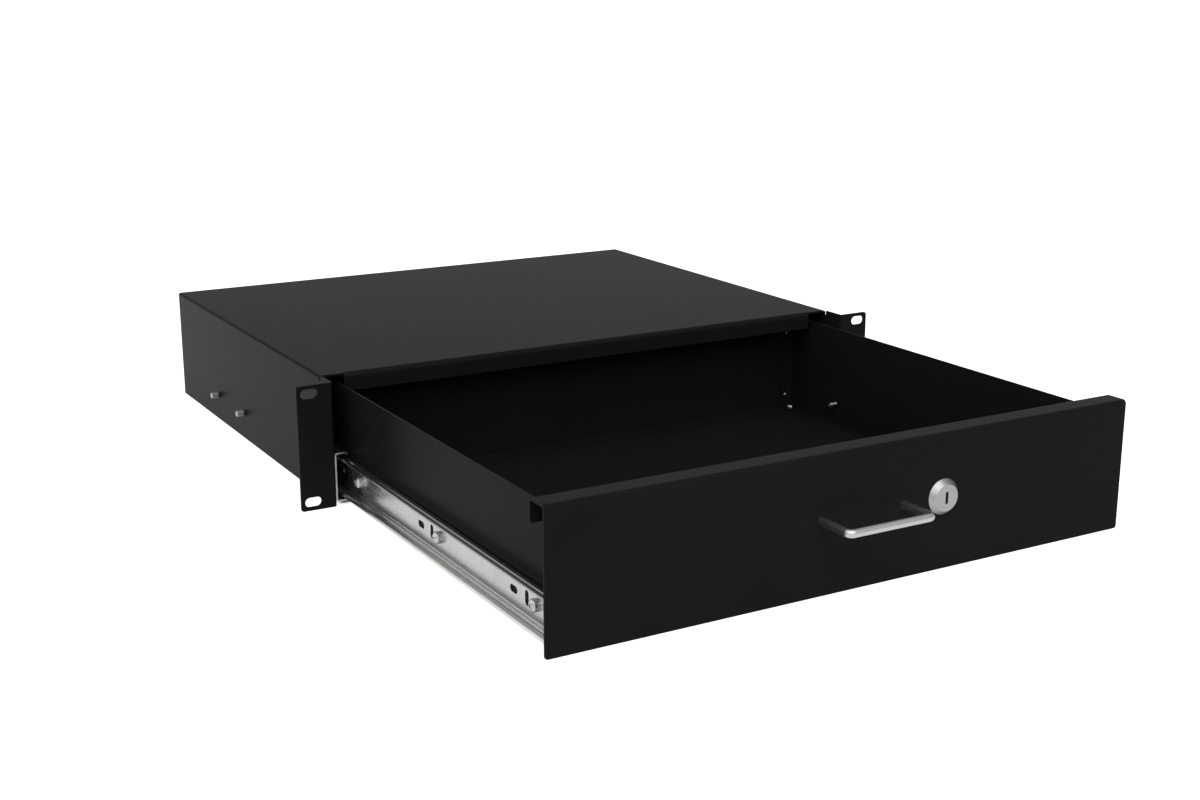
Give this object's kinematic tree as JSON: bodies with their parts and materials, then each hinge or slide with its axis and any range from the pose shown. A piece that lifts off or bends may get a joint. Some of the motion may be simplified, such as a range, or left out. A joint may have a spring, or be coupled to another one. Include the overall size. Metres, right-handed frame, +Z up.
{
  "type": "sliding rack drawer",
  "caption": "Two-unit rack drawer: folded steel case with slotted ears, and a lockable steel drawer with a bow handle on ball-bearing slides.",
  "frame": {"origin": "centre of the four ear slots, on the ears' rear face, which bears on the rack's posts", "axes": "+X to the right seen from the front, +Y back into the rack, +Z up; the drawer is at rest pulled out towards -Y"},
  "size_m": [0.4826, 0.6837, 0.0882],
  "materials": {
    "powder_coated_case": "fine-textured satin black powder coat",
    "powder_coated_panel": "fine-textured satin black powder coat",
    "zinc_plated_rail": "bright zinc plate",
    "zinc_plated_fastener": "bright zinc plate",
    "bare_rivet": "dull bare metal",
    "ball_steel": "polished",
    "satin_handle": "satin chrome plate",
    "satin_lock": "satin nickel plate"
  },
  "bodies": {
    "case": {"case_shell": "powder_coated_case", "rear_panel": "powder_coated_case", "left_case_rail": "zinc_plated_rail", "right_case_rail": "zinc_plated_rail", "left_case_rail_screws": "zinc_plated_fastener", "right_case_rail_screws": "zinc_plated_fastener"},
    "drawer": {"drawer_tray": "powder_coated_case", "tray_rivets": "bare_rivet", "front_panel": "powder_coated_panel", "panel_nuts": "zinc_plated_fastener", "handle": "satin_handle", "handle_screws": "zinc_plated_fastener", "left_drawer_rail": "zinc_plated_rail", "right_drawer_rail": "zinc_plated_rail", "left_drawer_rail_screws": "zinc_plated_fastener", "right_drawer_rail_screws": "zinc_plated_fastener", "lock_housing": "satin_lock", "lock_nut": "zinc_plated_fastener"},
    "left_cage": {"left_ball_cage": "zinc_plated_rail", "left_balls": "ball_steel"},
    "right_cage": {"right_ball_cage": "zinc_plated_rail", "right_balls": "ball_steel"},
    "lock_core": {"lock_core": "satin_lock", "lock_cam": "zinc_plated_rail", "cam_screw": "zinc_plated_fastener"}
  },
  "joints": [
    {"name": "drawer_slide", "type": "slide", "parent": "case", "child": "drawer", "axis": [0, -1, 0], "range_m": [-0.3, 0]},
    {"name": "left_cage_slide", "type": "slide", "parent": "case", "child": "left_cage", "axis": [0, -1, 0], "range_m": [-0.15, 0]},
    {"name": "right_cage_slide", "type": "slide", "parent": "case", "child": "right_cage", "axis": [0, -1, 0], "range_m": [-0.15, 0]},
    {"name": "lock_turn", "type": "hinge", "parent": "drawer", "child": "lock_core", "pos_m": [0.0615, -0.3015, 0.0035], "axis": [0, 1, 0], "range_deg": [0, 90]}
  ],
  "couplings": [
    {"joint": "left_cage_slide", "follows": "drawer_slide", "ratio": 0.5},
    {"joint": "right_cage_slide", "follows": "drawer_slide", "ratio": 0.5}
  ]
}
